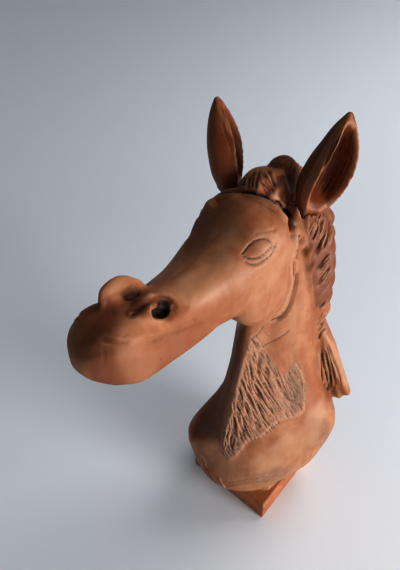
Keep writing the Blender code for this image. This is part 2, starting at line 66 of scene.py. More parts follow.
@dataclass(frozen=True)
class Viewpoint:
    """Where the photograph was taken from, and its frame in pixels."""

    place: Triple = (0.1615, -0.2763, 0.4525)
    azimuth: float = 42.0
    pitch: float = 31.5
    focal: float = 400.0
    width: int = 400
    height: int = 570
    middle: Pair = (200.0, 284.0)
    sensor: float = 36.0
    nearest: float = 0.01

    def axes(self) -> np.ndarray:
        """Returns the unit rows right, up and forward."""
        turn, dip = math.radians(self.azimuth), math.radians(self.pitch)
        right = np.array((math.cos(turn), math.sin(turn), 0.0))
        forward = np.array((-math.sin(turn) * math.cos(dip), math.cos(turn) * math.cos(dip), -math.sin(dip)))
        return np.array((right, np.cross(right, forward), forward))

    def ray(self, x: float, y: float) -> Vector:
        """Returns the unit direction from the camera through a picture point."""
        right, up, forward = self.axes()
        aim = forward + right * (x - self.middle[0]) / self.focal - up * (y - self.middle[1]) / self.focal
        return Vector(aim).normalized()

    def project(self, points: np.ndarray) -> np.ndarray:
        """Finds where points land in the picture.

        Args:
            points: rows of x, y, z in metres.

        Returns:
            One row of picture x and y for each point.
        """
        across, rise, depth = self.axes() @ (points - np.array(self.place)).T
        x = self.middle[0] + self.focal * across / depth
        y = self.middle[1] - self.focal * rise / depth
        return np.stack((x, y), axis=1)

    def build(self) -> bpy.types.Object:
        """Makes the scene's camera and returns it."""
        data = bpy.data.cameras.new("photo_camera")
        data.sensor_width = self.sensor
        data.lens = self.sensor * self.focal / self.height
        data.shift_y = (self.middle[1] - self.height / 2) / self.height
        data.clip_start = self.nearest
        camera = bpy.data.objects.new("photo_camera", data)
        right, up, forward = self.axes()
        camera.matrix_world = Matrix((right, up, -forward)).transposed().to_4x4()
        camera.location = self.place
        bpy.context.scene.collection.objects.link(camera)
        bpy.context.scene.camera = camera
        return camera


def smooth(values: np.ndarray) -> np.ndarray:
    """Returns values held between 0 and 1 and eased at both ends."""
    held = np.clip(values, 0.0, 1.0)
    return held * held * (3.0 - 2.0 * held)


def spline(points: Line, step: float) -> np.ndarray:
    """Runs a smooth curve through points.

    Args:
        points: the points that the curve passes through, of any dimension.
        step: the greatest distance between neighbouring points of the result.

    Returns:
        Rows on the curve.
    """
    rows = np.asarray(points, float)
    last = len(rows) - 1
    out = [rows[0]]
    for i in range(last):
        a, b, c, d = (rows[min(max(i + k, 0), last)] for k in (-1, 0, 1, 2))
        count = max(2, int(np.linalg.norm(c - b) / step))
        for t in np.linspace(0, 1, count + 1)[1:]:
            bend = (2 * a - 5 * b + 4 * c - d) * t**2 + (3 * b - a - 3 * c + d) * t**3
            out.append(0.5 * (2 * b + (c - a) * t + bend))
    return np.array(out)


def fractal(points: np.ndarray, scale: Union[float, Triple], octaves: int = 3) -> np.ndarray:
    """Reads a fractal noise at points.

    Args:
        points: rows of x, y, z in metres.
        scale: features to the metre, one number or one for each axis.
        octaves: how many finer layers are added.

    Returns:
        One number for each row, about -1 to 1.
    """
    spots = points * np.asarray(scale, float)
    return np.array([noise.fractal(Vector(p), 1.0, 2.0, octaves) for p in spots])


def numbers(items: bpy.types.bpy_prop_collection, name: str, width: int,
            kind: type = np.float32) -> np.ndarray:
    """Reads a property of all vertices, normals or edges of a mesh.

    Args:
        items: the mesh's collection of them.
        name: the property.
        width: how many numbers it has.
        kind: the type of these numbers.

    Returns:
        One row for each.
    """
    flat = np.empty(len(items) * width, kind)
    items.foreach_get(name, flat)
    return flat.reshape(-1, width)


class Tool(Enum):
    """What a carving line does to the wood."""

    GROOVE = "cuts a rounded groove"
    RIDGE = "leaves a rounded ridge"
    SHELF = "lowers the wood on the line's right, looking along it"


@dataclass(frozen=True)
class Cut:
    """One stroke of a tool, along picture points, with its width and depth in millimetres."""

    line: Line
    width: float
    depth: float
    tool: Tool = Tool.GROOVE
    fade: float = 0.15
    mirrored: bool = False


@dataclass(frozen=True)
class Comb:
    """Strands side by side between two picture lines, with the width and depth in millimetres.

    Each strand has so many samples, of which every stride-th is kept. The pairs say how much the strands
    differ in place, in their number of waves, in width and in depth.
    """

    first: Line
    last: Line
    count: int
    width: float
    depth: float
    sway: float = 1.5
    tool: Tool = Tool.GROOVE
    seed: int = 1
    samples: int = 24
    stride: int = 3
    fade: float = 0.25
    places: Pair = (0.1, 0.9)
    waves: Pair = (0.7, 1.8)
    widths: Pair = (0.7, 1.35)
    depths: Pair = (0.5, 1.2)

    def guide(self, line: Line) -> np.ndarray:
        """Samples the smooth curve through one of the two lines.

        Args:
            line: the line's picture points.

        Returns:
            As many picture points as there are samples.
        """
        rows = spline(line, 1.0)
        spots = np.linspace(0, 1, len(rows))
        steps = np.linspace(0, 1, self.samples)
        return np.stack([np.interp(steps, spots, rows[:, k]) for k in (0, 1)], axis=1)

    def cuts(self) -> list[Cut]:
        """Lays out the strands, uneven as a hand leaves them.

        Returns:
            One stroke for each strand.
        """
        dice = np.random.default_rng(self.seed)
        steps = np.linspace(0, 1, self.samples)
        first, last = self.guide(self.first), self.guide(self.last)
        quarter = self.samples // 4
        out = []
        for k in range(self.count):
            share = (k + dice.uniform(*self.places)) / self.count
            rows = first * (1 - share) + last * share
            bend = self.sway * np.sin(math.tau * (steps * dice.uniform(*self.waves) + dice.uniform()))
            across = np.gradient(rows, axis=0)[:, ::-1] * (1, -1)
            across /= np.linalg.norm(across, axis=1)[:, None] + TINY
            rows = rows + across * bend[:, None]
            start = int(dice.uniform(0, quarter))
            end = int(dice.uniform(self.samples - quarter, self.samples))
            width = self.width * dice.uniform(*self.widths)
            depth = self.depth * dice.uniform(*self.depths)
            line = tuple(map(tuple, rows[start:end:self.stride]))
            out.append(Cut(line, width, depth, self.tool, self.fade))
        return out


@dataclass(frozen=True)
class Area:
    """A part of the skin: its closed outline in the picture, the pixels over which it fades, its strength."""

    outline: Line
    soft: float
    strength: float = 1.0


@dataclass(frozen=True)
class Band:
    """A strip of the skin along a picture line: its width in millimetres, and its strength."""

    line: Line
    width: float
    strength: float = 1.0
    mirrored: bool = False


class Skin:
    """The dense skin of a carved piece, with the tools that cut it."""

    def __init__(self, piece: bpy.types.Object, view: Viewpoint) -> None:
        """Reads a piece's mesh.

        Args:
            piece: the piece to carve.
            view: the camera that picture points are thrown from.
        """
        self.mesh = piece.data
        self.view = view
        self.points = numbers(self.mesh.vertices, "co", 3).astype(float)
        self.height = np.zeros(len(self.points))
        self.commit()

    def commit(self) -> None:
        """Moves the skin by the heights gathered so far."""
        if np.any(self.height):
            self.points += self.normals * self.height[:, None]
            self.height[:] = 0.0
        self.write()

    def write(self) -> None:
        """Puts the points back into the mesh, and reads its normals and tree again."""
        self.mesh.vertices.foreach_set("co", self.points.astype(np.float32).ravel())
        self.mesh.update()
        self.normals = numbers(self.mesh.vertex_normals, "vector", 3).astype(float)
        faces = bmesh.new()
        faces.from_mesh(self.mesh)
        self.tree = BVHTree.FromBMesh(faces)
        faces.free()

    def spot(self, x: float, y: float) -> Optional[Vector]:
        """Returns the point of the skin seen at a picture point, or None off the piece."""
        return self.tree.ray_cast(Vector(self.view.place), self.view.ray(x, y))[0]

    def trace(self, line: Line) -> np.ndarray:
        """Returns the points of the skin, in metres, that a picture line is thrown on to."""
        seen = [self.spot(x, y) for x, y in spline(line, 0.5)]
        return np.array([p for p in seen if p is not None])

    def paths(self, mark: Union[Cut, Band]) -> list[np.ndarray]:
        """Lays a stroke's or band's line on the skin.

        Args:
            mark: the stroke or band.

        Returns:
            Points in metres, and if it is mirrored also those on the other side of the head.
        """
        path = self.trace(mark.line)
        if not mark.mirrored:
            return [path]
        return [path, np.array([self.tree.find_nearest(Vector((-x, y, z)))[0] for x, y, z in path])]

    def near(self, path: np.ndarray, reach: float) -> tuple[np.ndarray, ...]:
        """Finds the skin near a path.

        Args:
            path: points on the skin, in metres.
            reach: how far from the path to look, in metres.

        Returns:
            The vertices' numbers, their signed distance across the path, and their place along it, 0 to 1.
        """
        low, high = path.min(0) - reach, path.max(0) + reach
        chosen = np.nonzero(np.all((self.points > low) & (self.points < high), axis=1))[0]
        nearest = np.empty(len(chosen), int)
        gap = np.empty(len(chosen))
        for start in range(0, len(chosen), BATCH):
            part = slice(start, start + BATCH)
            gaps = np.linalg.norm(self.points[chosen[part], None, :] - path[None], axis=2)
            nearest[part] = gaps.argmin(1)
            gap[part] = gaps.min(1)
        keep = gap < reach
        chosen, nearest, gap = chosen[keep], nearest[keep], gap[keep]
        tangent = np.gradient(path, axis=0)
        side = np.cross(tangent[nearest], self.normals[chosen])
        sign = np.sign(np.einsum("ij,ij->i", self.points[chosen] - path[nearest], side))
        return chosen, gap * sign, nearest / max(len(path) - 1, 1)

    def stroke(self, path: np.ndarray, width: float, depth: float, tool: Tool, fade: float) -> None:
        """Gathers the heights of one stroke, which commit then moves the skin by.

        Args:
            path: points on the skin, in metres.
            width: the stroke's width in metres.
            depth: how deep or high it is in metres.
            tool: what it does to the wood.
            fade: the share of its length over which each end runs out.
        """
        if len(path) < 3:
            return
        reach = width if tool is Tool.SHELF else width / 2
        chosen, across, along = self.near(path, reach)
        ends = smooth(np.minimum(along, 1 - along) / fade) if fade else np.ones(len(along))
        shape = smooth(1 - np.abs(across) / reach)
        if tool is Tool.SHELF:
            shape = shape * (across > 0)
        if tool is Tool.RIDGE:
            self.height[chosen] = np.maximum(self.height[chosen], depth * shape * ends)
        else:
            self.height[chosen] = np.minimum(self.height[chosen], -depth * shape * ends)

    def carve(self, cuts: Sequence[Cut]) -> None:
        """Makes a set of cuts and moves the skin.

        Args:
            cuts: the strokes, in picture points.
        """
        for cut in cuts:
            for path in self.paths(cut):
                self.stroke(path, cut.width * MM, cut.depth * MM, cut.tool, cut.fade)
        self.commit()

    def patch(self, area: Area) -> np.ndarray:
        """Finds the skin inside an area, on the side that faces the camera.

        Args:
            area: the area, whose strength is left out.

        Returns:
            A number from 0 to 1 for each vertex.
        """
        seen = self.view.project(self.points)
        facing = np.einsum("ij,ij->i", self.normals, self.points - np.array(self.view.place)) < 0
        corners = np.asarray(area.outline, float)
        boxed = np.all((seen > corners.min(0) - area.soft) & (seen < corners.max(0) + area.soft), axis=1)
        chosen = np.nonzero(facing & boxed)[0]
        spots = seen[chosen]
        inside = np.zeros(len(chosen), bool)
        gap = np.full(len(chosen), FAR)
        for a, b in zip(corners, np.roll(corners, -1, axis=0)):
            t = np.clip((spots - a) @ (b - a) / max((b - a) @ (b - a), TINY), 0, 1)
            gap = np.minimum(gap, np.linalg.norm(spots - (a + t[:, None] * (b - a)), axis=1))
            rises = (a[1] > spots[:, 1]) != (b[1] > spots[:, 1])
            with np.errstate(divide="ignore", invalid="ignore"):
                crossing = (b[0] - a[0]) * (spots[:, 1] - a[1]) / (b[1] - a[1]) + a[0]
            inside ^= rises & (spots[:, 0] < crossing)
        mask = np.zeros(len(self.points))
        mask[chosen] = smooth(0.5 + np.where(inside, gap, -gap) / (2 * area.soft))
        return mask

    def areas(self, areas: Sequence[Area]) -> np.ndarray:
        """Returns the sum of some areas, each times its strength."""
        return sum(self.patch(area) * area.strength for area in areas)

    def bands(self, bands: Sequence[Band]) -> np.ndarray:
        """Adds up bands, each soft at its edges.

        Args:
            bands: the bands.

        Returns:
            The sum of their masks, each times its strength, for each vertex.
        """
        total = np.zeros(len(self.points))
        for band in bands:
            mask = np.zeros(len(self.points))
            half = band.width * MM / 2
            for path in self.paths(band):
                if len(path) > 2:
                    chosen, across, _ = self.near(path, half)
                    mask[chosen] = np.maximum(mask[chosen], smooth(2 - 2 * np.abs(across) / half))
            total += mask * band.strength
        return total

    def links(self) -> tuple[np.ndarray, np.ndarray]:
        """Returns the two ends of every edge."""
        return tuple(numbers(self.mesh.edges, "vertices", 2, np.int32).T)

    def ease(self, mask: np.ndarray, rounds: int) -> None:
        """Rubs the skin down where a mask is, as sandpaper does.

        Args:
            mask: how much each vertex gives way, 0 to 1.
            rounds: how often it is rubbed.
        """
        a, b = self.links()
        kept = (mask[a] > 0) | (mask[b] > 0)
        used, places = np.unique(np.stack((a[kept], b[kept])), return_inverse=True)
        a, b = places.reshape(2, -1)
        spots, size = self.points[used], len(used)
        count = np.bincount(a, minlength=size) + np.bincount(b, minlength=size)
        share = 0.5 * mask[used, None] / count[:, None]
        for _ in range(rounds):
            pull = np.stack([np.bincount(a, spots[b, k] - spots[a, k], size)
                             + np.bincount(b, spots[a, k] - spots[b, k], size) for k in range(3)], axis=1)
            spots = spots + share * pull
        self.points[used] = spots
        self.write()

    def reach(self, path: np.ndarray, radius: float, soft: float) -> np.ndarray:
        """Finds the skin near a chain of points.

        Args:
            path: the points, in metres.
            radius: how far the mask reaches in metres.
            soft: the last part of it over which it fades.

        Returns:
            A number from 0 to 1 for each vertex.
        """
        gap = np.full(len(self.points), 1.0)
        for spot in path:
            gap = np.minimum(gap, np.linalg.norm(self.points - spot, axis=1))
        return smooth((radius - gap) / soft)

    def hollowness(self, rounds: int) -> np.ndarray:
        """Measures how deep each vertex lies below its surroundings.

        Args:
            rounds: how many rings of neighbours are counted in.

        Returns:
            The depth in metres, negative on edges.
        """
        a, b = self.links()
        count = np.bincount(a, minlength=len(self.points)) + np.bincount(b, minlength=len(self.points))
        mean = self.points.copy()
        for _ in range(rounds):
            total = np.stack([np.bincount(a, mean[b, k], len(mean)) + np.bincount(b, mean[a, k], len(mean))
                              for k in range(3)], axis=1)
            mean = 0.5 * mean + 0.5 * total / np.maximum(count, 1)[:, None]
        return np.einsum("ij,ij->i", mean - self.points, self.normals)

    def store(self, name: str, values: np.ndarray) -> None:
        """Keeps one number for each vertex, held between 0 and 1, as an attribute that materials read."""
        layer = self.mesh.attributes.new(name, "FLOAT", "POINT")
        layer.data.foreach_set("value", np.clip(values, 0, 1).astype(np.float32))

    def blank(self, names: Sequence[str]) -> None:
        """Keeps masks that are 0 all over."""
        for name in names:
            self.store(name, np.zeros(len(self.points)))


def settled(piece: bpy.types.Object) -> None:
    """Applies a piece's modifiers.

    Args:
        piece: the piece, which keeps none of them.
    """
    graph = bpy.context.evaluated_depsgraph_get()
    mesh = bpy.data.meshes.new_from_object(piece.evaluated_get(graph))
    piece.modifiers.clear()
    piece.data = mesh


def merged_copy(node: str) -> bmesh.types.BMesh:
    """Copies a solid of the frame, whose own mesh is left alone, and joins its corners.

    Args:
        node: the solid's node.

    Returns:
        The copy.
    """
    bm = bmesh.new()
    bm.from_mesh(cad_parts[node].data)
    bmesh.ops.remove_doubles(bm, verts=bm.verts, dist=SAME_CORNER)
    return bm


def linked(bm: bmesh.types.BMesh, name: str) -> bpy.types.Object:
    """Turns a bmesh into an object of the scene.

    Args:
        bm: the bmesh, which is freed.
        name: the object's name.

    Returns:
        The object.
    """
    mesh = bpy.data.meshes.new(name)
    bm.to_mesh(mesh)
    bm.free()
    piece = bpy.data.objects.new(name, mesh)
    bpy.context.scene.collection.objects.link(piece)
    return piece


def round_out(piece: bpy.types.Object, rounds: int = 3, push: float = 0.8) -> None:
    """Subdivides a piece into smooth curves that still pass through its corners.

    Args:
        piece: the piece, whose corners stay where they are.
        rounds: how often the corners are pushed out against the rounding.
        push: the share of what is missing that each push makes up.
    """
    def corners(mesh: bpy.types.Mesh) -> np.ndarray:
        """Returns the places of the piece's own corners in a mesh."""
        return numbers(mesh.vertices, "co", 3)[:count]

    count = len(piece.data.vertices)
    rounder = piece.modifiers.new("rounder", "SUBSURF")
    rounder.levels = rounder.render_levels = 2
    aim = corners(piece.data).copy()
    held = aim.copy()
    for _ in range(rounds):
        graph = bpy.context.evaluated_depsgraph_get()
        held += push * (aim - corners(piece.evaluated_get(graph).data))
        piece.data.vertices.foreach_set("co", held.ravel())
        piece.data.update()
    settled(piece)


def finer(node: str, name: str, voxel: float, rounds: int) -> bpy.types.Object:
    """Makes a finer, rounder copy of a solid of the frame.

    Args:
        node: the solid's node.
        name: the new piece's name.
        voxel: the size of the new skin's faces in metres.
        rounds: how often the skin is relaxed.

    Returns:
        The new piece, with its modifiers applied.
    """
    piece = linked(merged_copy(node), name)
    round_out(piece)
    skin = piece.modifiers.new("skin", "REMESH")
    skin.mode = "VOXEL"
    skin.voxel_size = voxel
    relax = piece.modifiers.new("relax", "SMOOTH")
    relax.factor = 0.5
    relax.iterations = rounds
    settled(piece)
    return piece


def thinned(piece: bpy.types.Object, triangles: int) -> None:
    """Thins a piece's mesh, keeping its edges and grooves.

    Args:
        piece: the piece.
        triangles: about how many it keeps.
    """
    count = sum(len(p.vertices) - 2 for p in piece.data.polygons)
    thin = piece.modifiers.new("thin", "DECIMATE")
    thin.ratio = min(1.0, triangles / count)
    settled(piece)


class Wire:
    """A shader socket that takes part in sums."""

    def __init__(self, graph: "Graph", socket: bpy.types.NodeSocket) -> None:
        """Wraps a socket of a graph."""
        self.graph = graph
        self.socket = socket

    def math(self, operation: str, *others: Union["Wire", float]) -> "Wire":
        """Returns a Math node's result on this wire and others."""
        return self.graph.math(operation, self, *others)

    def __add__(self, other: Union["Wire", float]) -> "Wire":
        """Returns self + other."""
        return self.math("ADD", other)

    __radd__ = __add__

    def __sub__(self, other: Union["Wire", float]) -> "Wire":
        """Returns self - other."""
        return self.math("SUBTRACT", other)

    def __rsub__(self, other: float) -> "Wire":
        """Returns other - self."""
        return self.graph.math("SUBTRACT", other, self)

    def __mul__(self, other: Union["Wire", float]) -> "Wire":
        """Returns self * other."""
        return self.math("MULTIPLY", other)

    def held(self) -> "Wire":
        """Returns self between 0 and 1."""
        return self.math("MINIMUM", 1.0).math("MAXIMUM", 0.0)


class Graph:
    """The nodes of one material."""

    def __init__(self, name: str) -> None:
        """Makes a material of that name with a Principled shader."""
        self.material = bpy.data.materials.new(name)
        self.material.use_nodes = True
        self.nodes = self.material.node_tree.nodes
        self.links = self.material.node_tree.links
        self.shader = self.nodes["Principled BSDF"]
        self.where = Wire(self, self.node("ShaderNodeTexCoord").outputs["Object"])

    def node(self, kind: str, settings: Optional[dict] = None, **inputs: object) -> bpy.types.Node:
        """Adds a node.

        Args:
            kind: the node's type.
            settings: properties to set before its inputs, such as a Math node's operation.
            inputs: values or wires, by the socket's name with _ for a space, or iN for socket N.

        Returns:
            The node.
        """
        made = self.nodes.new(kind)
        for key, value in (settings or {}).items():
            setattr(made, key, value)
        for key, value in inputs.items():
            if key[0] == "i" and key[1:].isdigit():
                socket = made.inputs[int(key[1:])]
            else:
                socket = made.inputs[key.replace("_", " ")]
            self.feed(socket, value)
        return made

    def feed(self, socket: bpy.types.NodeSocket, value: object) -> None:
        """Links a wire to a socket, or sets the socket's value.

        Args:
            socket: the input.
            value: a wire, a number, a vector or a colour.
        """
        if isinstance(value, Wire):
            self.links.new(value.socket, socket)
        elif isinstance(value, tuple) and len(value) == 3 and socket.type == "RGBA":
            socket.default_value = (*value, 1.0)
        else:
            socket.default_value = value

    def math(self, operation: str, *values: Union[Wire, float]) -> Wire:
        """Returns a Math node's result."""
        sockets = {f"i{k}": value for k, value in enumerate(values)}
        return Wire(self, self.node("ShaderNodeMath", {"operation": operation}, **sockets).outputs[0])

    def mix(self, factor: Wire, a: object, b: object) -> Wire:
        """Returns a mixed colour: a where the factor is 0, b where it is 1."""
        made = self.node("ShaderNodeMix", {"data_type": "RGBA"}, i0=factor, i6=a, i7=b)
        return Wire(self, made.outputs[2])

    def stretched(self, scale: Triple, turn: Triple = (0.0, 0.0, 0.0)) -> Wire:
        """Returns the place on the piece, turned by degrees and then stretched."""
        made = self.node("ShaderNodeMapping", Vector=self.where, Scale=scale,
                         Rotation=tuple(math.radians(t) for t in turn))
        return Wire(self, made.outputs[0])

    def height(self) -> Wire:
        """Returns the height over the floor."""
        return Wire(self, self.node("ShaderNodeSeparateXYZ", None, Vector=self.where).outputs["Z"])

    def noise(self, vector: Wire, scale: float, detail: float = 3.0, rough: float = 0.55,
              warp: float = 0.0) -> Wire:
        """Returns a noise about 0 to 1."""
        made = self.node("ShaderNodeTexNoise", None, Vector=vector, Scale=scale, Detail=detail,
                         Roughness=rough, Distortion=warp)
        return Wire(self, made.outputs["Fac"])

    def rings(self, vector: Wire, core: Triple, scale: float, warp: float) -> Wire:
        """Draws growth rings about an upright core.

        Args:
            vector: the place on the piece.
            core: where the core stands.
            scale: rings to the metre, about.
            warp: how uneven they are.

        Returns:
            Their tone, 0 to 1.
        """
        shifted = self.node("ShaderNodeVectorMath", {"operation": "SUBTRACT"}, i0=vector, i1=core)
        settings = {"wave_type": "RINGS", "rings_direction": "Z", "wave_profile": "SIN"}
        made = self.node("ShaderNodeTexWave", settings, Vector=Wire(self, shifted.outputs[0]), Scale=scale,
                         Distortion=warp, Detail=3.0, Detail_Scale=0.4)
        return Wire(self, made.outputs["Fac"])

    def stored(self, name: str) -> Wire:
        """Returns an attribute of the mesh."""
        return Wire(self, self.node("ShaderNodeAttribute", {"attribute_name": name}).outputs["Fac"])

    def span(self, value: Wire, low: float, high: float) -> Wire:
        """Returns a value eased from 0 at low to 1 at high."""
        made = self.node("ShaderNodeMapRange", {"interpolation_type": "SMOOTHSTEP"}, Value=value,
                         From_Min=low, From_Max=high)
        return Wire(self, made.outputs[0])

    def finish(self, colour: Wire, rough: Wire, height: Wire, depth: float) -> None:
        """Joins the result to the shader.

        Args:
            colour: the base colour.
            rough: the roughness.
            height: the fine relief, 0 to 1.
            depth: what 1 of that relief is in metres.
        """
        bump = self.node("ShaderNodeBump", None, Height=height, Distance=depth)
        self.feed(self.shader.inputs["Base Color"], colour)
        self.feed(self.shader.inputs["Roughness"], rough)
        self.feed(self.shader.inputs["Normal"], Wire(self, bump.outputs[0]))


@dataclass(frozen=True)
class Layer:
    """A colour of the wood that lies where a mask of the mesh is, with a ragged edge."""

    mask: str
    colour: str
    start: float
    full: float
    strength: float
    ragged: float


# Colours laid over the wood, lowest first: the mane's darker hair, painted shade, and painted shade in the
# crevices
UNDER_LAYERS = (
    Layer("mane", "mane", 0.15, 0.85, 0.8, 0.5),
    Layer("shade", "shade", 0.05, 1.0, 0.75, 0.3),
    Layer("stain", "dark", 0.1, 0.9, 0.85, 0.5),
)
# Laid over everything else: pale wear on edges together with painted light, then near-black dirt in the
# hollows, which also paints their shade and the nostril hole's shadow
OVER_LAYERS = (
    Layer("worn", "worn", 0.25, 1.0, 0.6, 0.5),
    Layer("hollow", "dirt", 0.12, 0.9, 0.92, 0.25),
)


@dataclass(frozen=True)
class Wood:
    """A waxed wood: its colours, the scale of its figure to the metre, and its polish."""

    name: str
    light: Triple = (0.43, 0.215, 0.115)
    middle: Triple = (0.31, 0.108, 0.039)
    dark: Triple = (0.11, 0.032, 0.012)
    # near black: dirt in the hollows, which also stands for their painted shade
    dirt: Triple = (0.014, 0.006, 0.003)
    # pale: rubbed wear, and painted light where the light falls
    worn: Triple = (0.47, 0.27, 0.16)
    raw: Triple = (0.46, 0.255, 0.162)
    # painted shade in the furrows of the rough wood
    furrow_shade: Triple = (0.16, 0.075, 0.043)
    grey: Triple = (0.20, 0.14, 0.10)
    mane: Triple = (0.17, 0.047, 0.015)
    # the colour of the painted shade
    shade: Triple = (0.15, 0.038, 0.011)
    cloud_scale: float = 24.0
    blotch_scale: float = 75.0
    streak_scale: float = 130.0
    scuff_scale: float = 210.0
    fibre_scale: float = 520.0
    pore_scale: float = 1100.0
    ring_scale: float = 60.0
    core: Triple = (-0.02, 0.06, 0.0)
    neck_end: Pair = (0.22, 0.29)
    relief: float = 0.22 * MM
    polish: float = 0.44
    coat: float = 0.08
    coat_roughness: float = 0.35
    mirror: float = 0.42

    def figure(self, g: Graph, blotch: Wire, fibre: Wire) -> Wire:
        """Mixes the colour of clean waxed wood: clouds, rings, streaks down the neck and pale scuffs.

        Args:
            g: the material's graph.
            blotch: the blotches' tone.
            fibre: the fibres' tone.

        Returns:
            The colour.
        """
        cloud = g.noise(g.stretched((1.0, 0.7, 0.45)), self.cloud_scale, 3.0, 0.55, 0.6)
        rings = g.rings(g.stretched((1.0, 1.0, 0.3)), self.core, self.ring_scale, 5.0)
        tone = g.span(cloud * 0.62 + fibre * 0.02 + blotch * 0.32 + rings * 0.02, 0.36, 0.66)
        colour = g.mix(tone, self.middle, self.light)
        grain = g.stretched((1.0, 1.0, 0.05), (3.0, 2.0, 0.0))
        streak = g.span(g.noise(grain, self.streak_scale, 3.0, 0.5, 0.6), 0.56, 0.76)
        neck = 1.0 - g.span(g.height(), *self.neck_end)
        colour = g.mix(streak * (neck * 0.16 + 0.07) + g.span(rings, 0.8, 1.0) * 0.03, colour, self.dark)
        slant = g.stretched((1.0, 0.35, 1.0), (35.0, 0.0, 20.0))
        scuffs = g.span(g.noise(slant, self.scuff_scale, 3.0, 0.6, 0.8), 0.54, 0.72)
        return g.mix(scuffs * 0.16, colour, self.worn)

    def splintered(self, g: Graph) -> Wire:
        """Mixes the colour of the rough wood: pale strands, furrows darkened by their depth as painted shade,
        and grey weather.

        Args:
            g: the material's graph.

        Returns:
            The colour.
        """
        strands = g.span(g.stored("relief") + (g.noise(g.where, 260.0, 3.0) - 0.5) * 0.6, 0.0, 0.8)
        bare = g.mix(strands, self.furrow_shade, self.raw)
        return g.mix(g.span(g.noise(g.where, 60.0), 0.5, 0.75) * 0.35, bare, self.grey)

    def laid(self, g: Graph, colour: Wire, blotch: Wire, layers: Sequence[Layer]) -> Wire:
        """Lays layers over a colour.

        Args:
            g: the material's graph.
            colour: the colour below.
            blotch: the blotches' tone, which makes the layers' edges ragged.
            layers: the layers, the lowest first.

        Returns:
            The colour with the layers over it.
        """
        for layer in layers:
            mask = g.stored(layer.mask) + (blotch - 0.5) * layer.ragged
            part = g.span(mask, layer.start, layer.full) * layer.strength
            colour = g.mix(part, colour, getattr(self, layer.colour))
        return colour

    def dress(self) -> bpy.types.Material:
        """Builds the material, which reads the masks stored on the mesh.

        Returns:
            The material.
        """
        g = Graph(self.name)
        g.shader.inputs["Coat Weight"].default_value = self.coat
        g.shader.inputs["Coat Roughness"].default_value = self.coat_roughness
        g.shader.inputs["Specular IOR Level"].default_value = self.mirror
        blotch = g.noise(g.where, self.blotch_scale, 3.0, 0.6, 0.4)
        fibre = g.noise(g.stretched((1.0, 1.0, 0.07)), self.fibre_scale, 4.0, 0.6, 0.2)
        pores = g.span(g.noise(g.stretched((1.0, 1.0, 0.10)), self.pore_scale, 2.0), 0.62, 0.75)
        rough = g.stored("rough")
        grey = g.stored("grey") * g.span(g.noise(g.where, 180.0, 3.0), 0.3, 0.55)
        colour = g.mix(pores * 0.2, self.figure(g, blotch, fibre), self.dark)
        colour = self.laid(g, colour, blotch, UNDER_LAYERS)
        colour = g.mix(rough, colour, self.splintered(g))
        colour = g.mix(grey * 0.55, colour, self.grey)
        colour = self.laid(g, colour, blotch, OVER_LAYERS)
        shine = fibre * 0.1 + rough * 0.35 + grey * 0.2 + g.stored("shade") * 0.25 + blotch * 0.1
        fine = fibre * 0.06 + blotch * 0.12 - pores * 0.2 + g.noise(g.where, 480.0, 2.0) * rough * 2.0
        g.finish(colour, (self.polish + shine).held(), fine, self.relief)
        return g.material


BUST_WOOD = Wood("waxed_carving_wood")
EAR_WOOD = Wood("waxed_ear_wood", light=(0.27, 0.08, 0.022), middle=(0.15, 0.038, 0.01),
                dark=(0.045, 0.014, 0.006), worn=(0.42, 0.19, 0.09))
PLATE_WOOD = Wood("waxed_plate_wood", light=(0.50, 0.20, 0.08), middle=(0.34, 0.115, 0.042))


def join_frame(piece: bpy.types.Object, node: str, material: bpy.types.Material) -> None:
    """Dresses a finished piece and puts it in its node's place.

    Args:
        piece: the finished piece.
        node: the node of the frame that it stands for.
        material: its finish.
    """
    piece.data.materials.clear()
    piece.data.materials.append(material)
    piece.data.shade_smooth()
    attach(piece, "root")
    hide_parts(node)
    log.info("%s: %d triangles", piece.name, sum(len(p.vertices) - 2 for p in piece.data.polygons))


# Carved lines of the head, as picture points: the eye and its brow
EYE_LIDS = (
    Cut(((241.4, 255.2), (246.5, 248), (251, 243.6), (256, 240.3), (264.9, 238.8), (271.5, 242.5),
         (273, 244.5)), 2.0, 1.0, fade=0.05, mirrored=True),
    Cut(((241.8, 255.4), (248, 257.8), (254, 258.5), (260.5, 257), (266.4, 252.6), (270.8, 248),
         (272.5, 244.5)), 2.0, 1.2, fade=0.05, mirrored=True),
    Cut(((243, 257.6), (248, 260.6), (254, 261.6), (260.5, 260), (266.4, 255.9), (271, 251.5), (275, 245)),
        2.2, 0.5, Tool.RIDGE, mirrored=True),
    Cut(((243.2, 259.8), (248, 263), (253.9, 264.7), (260.5, 262.9), (266.4, 259.2), (271.3, 255),
         (276.6, 243.2)), 1.8, 0.9, fade=0.1, mirrored=True),
    Cut(((249, 234), (258, 232.5), (268, 231), (274.5, 229.5)), 3.0, 0.45, mirrored=True),
    Cut(((275, 227.8), (274.5, 230), (273, 233.5)), 1.6, 0.6, mirrored=True),
)

# Where forehead and cheek end in an edge
FOREHEAD_EDGE = ((203, 201), (207, 199.5), (213, 198), (221, 195), (238, 193), (256, 196), (271, 202.5),
                 (282, 212), (290, 222))
CHEEK_EDGE = ((298, 233), (297.5, 246.5), (292.8, 259), (292, 270), (292.8, 281), (289.3, 295.7),
              (285.5, 306.5), (278.5, 315.5), (268, 321))

